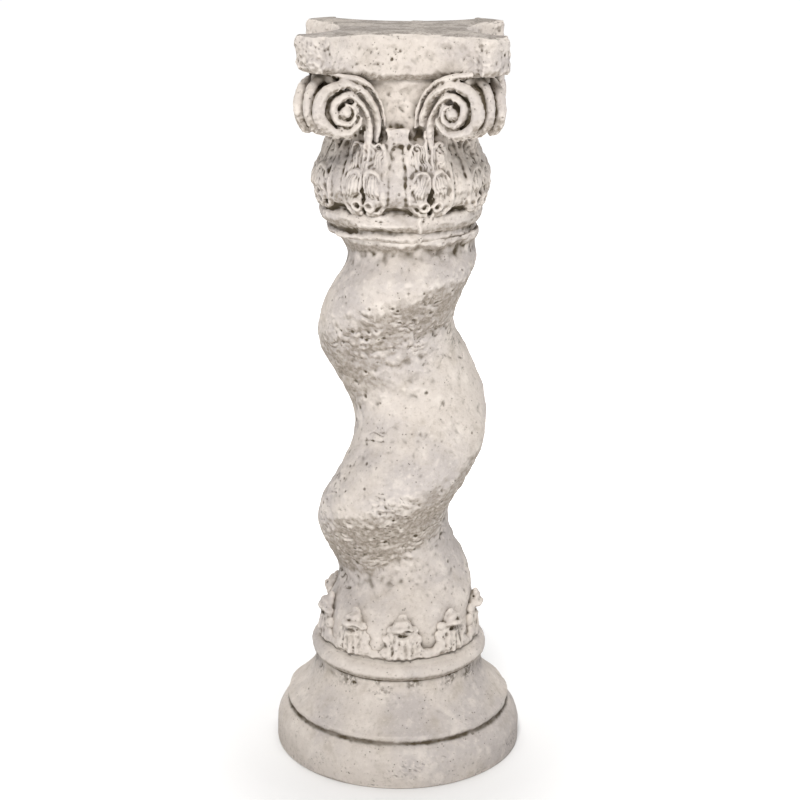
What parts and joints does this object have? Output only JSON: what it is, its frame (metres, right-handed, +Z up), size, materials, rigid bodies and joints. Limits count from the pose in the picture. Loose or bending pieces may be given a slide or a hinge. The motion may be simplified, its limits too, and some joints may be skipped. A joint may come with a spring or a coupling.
{
  "type": "column pedestal",
  "caption": "Cast stone column pedestal with a round moulded base, a twisted shaft, a ring of foot leaves, a leaf and volute capital and a hollow-sided top slab.",
  "frame": {"origin": "middle of the underside of the base, on the axis of the base", "axes": "+Z up along the column, -Y towards the front, the four sides of the capital facing +X, -X, +Y and -Y"},
  "size_m": [0.311, 0.311, 0.9],
  "materials": {
    "cast_stone": "matt, weathered, brown dirt in the hollows"
  },
  "bodies": {
    "root": {"column_pedestal": "cast_stone"}
  },
  "joints": []
}
